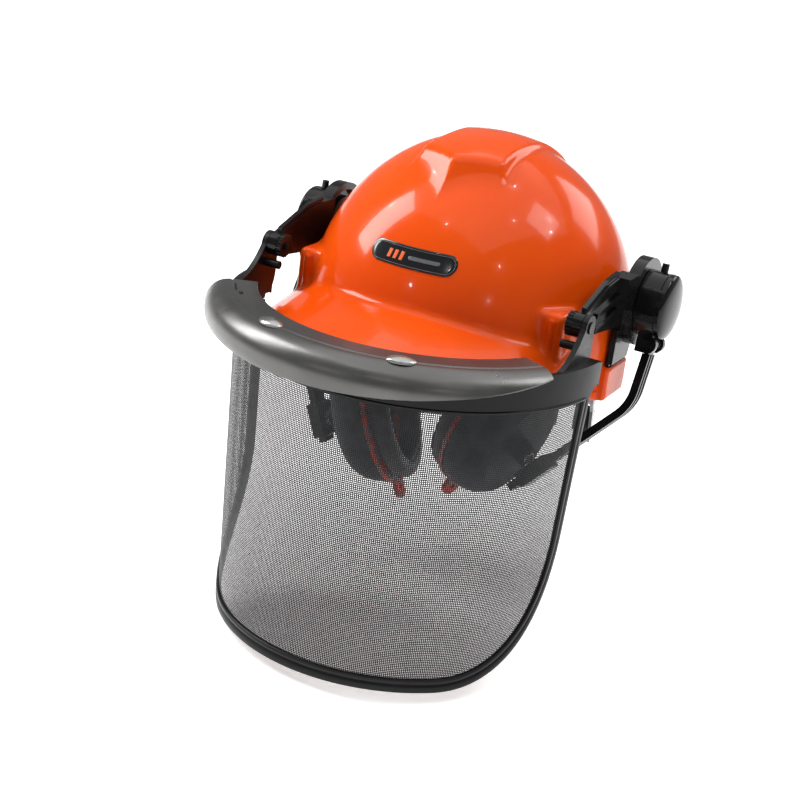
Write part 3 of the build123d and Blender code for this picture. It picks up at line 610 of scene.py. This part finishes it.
def on_sheet(angle, z, radius):
    """Points on the visor's cone; radius is the one it has at the mesh's top."""
    radius = radius - SHEET_TAPER * (MESH_TOP - z)
    return np.stack([radius * np.sin(angle), VISOR_Y - radius * np.cos(angle), z], -1)


def make_trim():
    """The U-section round the mesh: rounded edges and a groove along the outer face."""
    outline = (
        (0.0, 121.3), (0.0, 123.1), (0.35, 123.7), (1.0, 124.0), (5.6, 124.0), (6.0, 123.45), (6.6, 123.4),
        (7.0, 123.95), (9.2, 123.9), (9.8, 123.5), (10.0, 122.9), (10.0, 121.5), (9.6, 120.8), (9.0, 120.5),
        (1.0, 120.4), (0.35, 120.7),
    )
    section = []
    for inset, radius in outline:
        path = edge_path(inset)
        section.append(on_sheet(path[:, 0], path[:, 1], radius))
    grid = np.stack(section, 1)
    trim = grid_piece(
        "visor_edge_trim", grid, "trim_black", "visor", ["visor_trim"], wrap_columns=True, capped=True
    )
    outward(trim)


def wire_strips(lines):
    """Flat strips for wires: each line is (points, across direction)."""
    points, faces = [], []
    for centre, across in lines:
        start = len(points)
        half = across * WIRE_WIDTH / 2
        points += np.stack([centre - half, centre + half], 1).reshape(-1, 3).tolist()
        faces += [(start + 2 * k, start + 2 * k + 1, start + 2 * k + 3, start + 2 * k + 2)
                  for k in range(len(centre) - 1)]
    return points, faces


def make_wire_mesh():
    """Woven wire: every wire passes over one and under the next."""
    inset, top = 4.0, MESH_TOP - 0.5
    radius = CORNER_RADIUS - inset
    centre = VISOR_HALF_ANGLE - CORNER_RADIUS / SHEET_R
    centre_z = VISOR_BOTTOM + CORNER_RADIUS
    half = VISOR_HALF_ANGLE - inset / SHEET_R
    step = WIRE_PITCH / SHEET_R
    columns = np.arange(-int(half / step), int(half / step) + 1)
    rows = np.arange(0, int((top - VISOR_BOTTOM - inset) / WIRE_PITCH) + 1)
    lines = []
    for i in columns:
        angle = i * step
        over = np.clip((abs(angle) - centre) * SHEET_R, 0, radius)
        bottom = centre_z - math.sqrt(radius**2 - over**2)
        z = top - rows * WIRE_PITCH
        kept = z >= bottom
        rise = WIRE_RISE * (1 - 2 * ((i + rows[kept]) % 2))
        line = on_sheet(np.full(kept.sum(), angle), z[kept], SHEET_R + rise)
        if len(line) > 1:
            lines.append((line, np.array([math.cos(angle), math.sin(angle), 0.0])))
    for j in rows:
        z = top - j * WIRE_PITCH
        drop = np.clip(centre_z - z, 0, radius)
        reach = centre + math.sqrt(radius**2 - drop**2) / SHEET_R if z < centre_z else half
        kept = columns[np.abs(columns * step) <= reach]
        rise = -WIRE_RISE * (1 - 2 * ((kept + j) % 2))
        line = on_sheet(kept * step, np.full(len(kept), z), SHEET_R + rise)
        lines.append((line, np.array([0.0, 0.0, 1.0])))
    points, faces = wire_strips(lines)
    make_piece("wire_weave", points, faces, "mesh_steel", "visor", ["visor_mesh"])


def make_band_bead():
    """The thin bead along the carrier band's lower edge."""
    angle = np.radians(np.linspace(-82, 82, 160))
    grid = tube(turned(np.stack([np.full(160, 128.0), np.full(160, 3.4)], 1), angle), 0.8, 10)
    outward(grid_piece("band_bead", grid, "visor_black", "visor", wrap_columns=True, capped=True))


# ---------------------------------------------------------------- soft pieces

def cup_frame(side):
    """The ear cup's own axes and its ring's centre: X out of the cup, Z up it."""
    joint, mount = JOINTS[f"cup_tilt_{side}"], MOUNTS[f"tab_hole_{side}"]
    out = np.array(mount["axis"], float)
    fore = np.array(joint["axis"], float)
    up = np.cross(out, fore) * SIDES[side]
    centre = np.array(joint["pos_m"], float) / MM - 41.0 * out
    return centre, np.stack([out, fore, up])


def seat(points, side):
    """Points from the cup's own axes to the row frame."""
    centre, axes = cup_frame(side)
    return centre + points @ axes


def make_ear_cushion(side):
    """A crowned ring of soft skin with a seam near its outer edge and small puckers."""
    around = np.linspace(0, math.tau, 220, endpoint=False)
    turn = np.linspace(0, math.tau, 48, endpoint=False)
    c, s = np.cos(turn), np.sin(turn)
    across = np.sign(c) * np.abs(c) ** 0.75
    lift = np.sign(s) * np.abs(s) ** 0.8
    grid = np.zeros((len(around), len(turn), 3))
    for k, angle in enumerate(around):
        pucker = 0.25 * math.sin(angle * 37) + 0.3 * math.sin(angle * 5 + 1.1)
        half = 7.6 + 0.1 * pucker
        seam = 0.9 * np.exp(-((turn - 5.6) / 0.12) ** 2) + 0.5 * np.exp(-((turn - 3.8) / 0.12) ** 2)
        reach = across * (half - seam)
        depth = -7.4 - lift * (7.3 + 0.15 * pucker - seam)
        grid[k, :, 0] = np.minimum(depth, -0.05)
        grid[k, :, 1] = (32.8 + reach) * math.cos(angle)
        grid[k, :, 2] = (44.0 + reach) * math.sin(angle)
    cushion = grid_piece(f"cushion_skin_{side}", seat(grid, side), "cushion_skin", f"ear_cup_{side}",
                         [f"ear_cushion_{side}"], wrap_rows=True, wrap_columns=True)
    outward(cushion)


def soft_disc(half_y, half_z, low, high, dimples):
    """A padded oval between two heights, its faces quilted by a few dimples."""
    turn = np.linspace(0, math.tau, 120, endpoint=False)
    profile = [(share, 1) for share in np.linspace(0.02, 1, 26)]
    profile += [(share, -1) for share in np.linspace(1, 0.02, 26)]
    grid = np.zeros((len(profile), len(turn), 3))
    middle, thick = (low + high) / 2, (high - low) / 2
    for k, (share, face) in enumerate(profile):
        bulge = math.sqrt(max(1 - share**6, 0))
        y, z = half_y * share * np.cos(turn), half_z * share * np.sin(turn)
        quilt = np.zeros(len(turn))
        for dy, dz in dimples:
            quilt += 0.9 * np.exp(-((y - dy) ** 2 + (z - dz) ** 2) / 18)
        grid[k, :, 0] = middle + face * (thick * bulge - quilt * (bulge > 0.3))
        grid[k, :, 1], grid[k, :, 2] = y, z
    return grid


def make_cup_foam(side):
    """The foam that lines an ear cup."""
    grid = soft_disc(32.5, 43.5, 6.2, 13.8, [(0, 20), (0, -20), (12, 0), (-12, 0)])
    foam = grid_piece(f"foam_pad_{side}", seat(grid, side), "foam", f"ear_cup_{side}", [f"cup_foam_{side}"],
                      wrap_columns=True, capped=True)
    outward(foam)


def make_crown_pad():
    """The quilted pad under the crown of the cradle."""
    grid = soft_disc(27.6, 27.6, 86.2, 92.8, [(11, 0), (-11, 0), (0, 11), (0, -11)])
    grid = grid[..., [1, 2, 0]]
    pad = grid_piece(
        "crown_cushion", grid, "sweat_fabric", "helmet", ["crown_pad"], wrap_columns=True, capped=True
    )
    outward(pad)


def make_sweatband():
    """The foam-backed band inside the front of the headband, with two stitched channels."""
    angles = np.linspace(math.pi + 0.01, math.tau - 0.01, 200)
    turn = np.linspace(0, math.tau, 40, endpoint=False)
    c, s = np.cos(turn), np.sin(turn)
    across = np.sign(c) * np.abs(c) ** 0.6
    height = np.sign(s) * np.abs(s) ** 0.5
    grid = np.zeros((len(angles), len(turn), 3))
    for k, angle in enumerate(angles):
        end = min(1.0, min(k, len(angles) - 1 - k) / 6)
        channel = 0.8 * sum(np.exp(-((height - at) / 0.06) ** 2) for at in (-0.72, 0.72))
        ripple = 0.15 * math.sin(angle * 60)
        depth = np.where(across < 0, across * (1.62 + ripple) + channel * (across < -0.2), across * 1.7)
        grow = 0.35 + 0.65 * math.sqrt(end)
        radius = -1.85 + depth * grow
        grid[k, :, 0] = (81.0 + radius) * math.cos(angle)
        grid[k, :, 1] = (99.0 + radius) * math.sin(angle)
        grid[k, :, 2] = 17.0 + height * (15.6 * (0.75 + 0.25 * math.sqrt(end)))
    band = grid_piece(
        "sweat_pad", grid, "sweat_fabric", "helmet", ["sweatband"], wrap_columns=True, capped=True
    )
    outward(band)


def make_strap(name, along_x):
    """A woven strap over the head: a flat section with rounded selvedges."""
    rise, reach = (84.0, 103.0) if along_x else (86.1, 111.0)
    turn = np.linspace(0.015, math.pi - 0.015, 160)
    section = [
        (-10, 0.3), (-9.7, 0.05), (-8.6, 0.1), (-7.9, 0.35), (7.9, 0.35), (8.6, 0.1), (9.7, 0.05), (10, 0.3),
        (10, 1.3), (9.7, 1.55), (8.6, 1.5), (7.9, 1.25), (-7.9, 1.25), (-8.6, 1.5), (-9.7, 1.55), (-10, 1.3),
    ]
    grid = np.zeros((len(turn), len(section), 3))
    for k, angle in enumerate(turn):
        for m, (wide, deep) in enumerate(section):
            out = (reach - deep) * math.cos(angle)
            z = 14.0 + (rise - deep) * math.sin(angle)
            grid[k, m] = (out, wide, z) if along_x else (wide, out, z)
    node_name = "cradle_strap_across" if along_x else "cradle_strap_along"
    strap = grid_piece(name, grid, "strap_webbing", "helmet", [node_name], wrap_columns=True, capped=True)
    outward(strap)


# ---------------------------------------------------------------- build

def dress_cad_nodes():
    """Every CAD node gets its own material and smooth faces; those with a listed width also get rounded edges."""
    widths = {
        "visor_band": 0.7, "muff_arm": 0.45, "adapter": 0.6, "muff_hub": 0.6, "hub_cap": 0.6,
        "visor_arm": 0.6, "cup_ring": 0.5, "rear_band": 0.4, "headband": 0.4, "ratchet_knob": 0.4,
    }
    for name, obj in NODES.items():
        mesh = obj.data
        mesh.materials.clear()
        mesh.materials.append(MATERIALS["stud_grey" if name == "guard_studs" else SLOT_OF[name]])
        mesh.shade_smooth()
        mesh.set_sharp_from_angle(angle=math.radians(32))
        base = name.removesuffix("_left").removesuffix("_right")
        width = widths.get(base, 0.0)
        if width:
            bevel(obj, width, 40)


def make_lamp(name, place_at, aim, width, height, power):
    """A soft rectangular lamp that points at aim."""
    lamp = bpy.data.lights.new(name, "AREA")
    lamp.shape, lamp.size, lamp.size_y, lamp.energy = "RECTANGLE", width, height, power
    obj = bpy.data.objects.new(name, lamp)
    obj.location = place_at
    obj.rotation_euler = (Vector(aim) - Vector(place_at)).to_track_quat("-Z", "Y").to_euler()
    bpy.context.scene.collection.objects.link(obj)


def make_stage():
    """A plain pale floor that stays bright far away, soft lights, small ceiling spots and a pale surround."""
    mat = principled("floor_pale", (0.93, 0.93, 0.93), 0.9, specular=0.1)
    shader = mat.node_tree.nodes["Principled BSDF"]
    shader.inputs["Emission Color"].default_value = (1, 1, 1, 1)
    shader.inputs["Emission Strength"].default_value = 0.45
    where = node(mat, "ShaderNodeNewGeometry")
    reach = node(mat, "ShaderNodeVectorMath")
    reach.operation = "LENGTH"
    link(mat, where.outputs["Position"], reach.inputs[0])
    link(mat, spread(mat, reach.outputs["Value"], 0.45, 1.0, 0.9, 3.2), shader.inputs["Emission Strength"])
    bpy.ops.mesh.primitive_plane_add(size=40, location=(0, 0, -0.203))
    floor = bpy.context.object
    floor.name = "floor"
    floor.data.materials.append(mat)
    world = bpy.data.worlds.new("surround")
    world.use_nodes = True
    world.node_tree.nodes["Background"].inputs["Color"].default_value = (1, 1, 1, 1)
    world.node_tree.nodes["Background"].inputs["Strength"].default_value = 0.26
    bpy.context.scene.world = world
    make_lamp("overhead", (0.1, 0.35, 2.6), (0, 0, 0), 4.0, 4.0, 66)
    make_lamp("left softbox", (-1.3, -0.35, 0.95), (0, 0, 0.05), 0.5, 1.0, 26)
    make_lamp("back softbox", (0.7, 1.5, 0.9), (0, 0, 0), 0.9, 0.6, 7)
    make_lamp("umbrella", (0.95, 0.4, 1.35), (0, 0, 0.05), 0.5, 0.5, 5)
    spots = [
        (-1.3, -0.15, 1.05), (-0.25, -0.8, 1.5), (0.3, 0.5, 1.6), (0.75, -0.1, 1.55), (0.95, 0.55, 1.3),
        (1.1, 0.4, 1.2), (1.0, -0.85, 1.1), (-0.5, -1.5, 0.6), (1.05, -1.2, 0.6), (0.2, -1.4, 1.0),
    ]
    for k, place_at in enumerate(spots):
        make_lamp(f"ceiling spot {k}", place_at, (0, 0, 0.05), 0.03, 0.03, 0.5)


def make_camera():
    """The camera at the viewing angle of the reference view."""
    right, up, forward = (0.8786, 0.4610, 0.1249), (-0.2657, 0.2544, 0.9299), (-0.3969, 0.8502, -0.3460)
    data = bpy.data.cameras.new("camera")
    data.lens, data.sensor_width = 75.9, 36
    camera = bpy.data.objects.new("camera", data)
    axes = Matrix((right, up, tuple(-v for v in forward))).transposed().to_4x4()
    camera.matrix_world = Matrix.Translation((0.443, -1.043, 0.352)) @ axes
    bpy.context.scene.collection.objects.link(camera)
    bpy.context.scene.camera = camera
    bpy.context.scene.view_settings.view_transform = "Standard"


make_camera()
make_stage()
dress_cad_nodes()
make_shell()
make_badge()
make_guard()
make_trim()
make_wire_mesh()
make_band_bead()
for ear_side in SIDES:
    make_ear_cushion(ear_side)
    make_cup_foam(ear_side)
make_crown_pad()
make_sweatband()
make_strap("strap_across", True)
make_strap("strap_along", False)
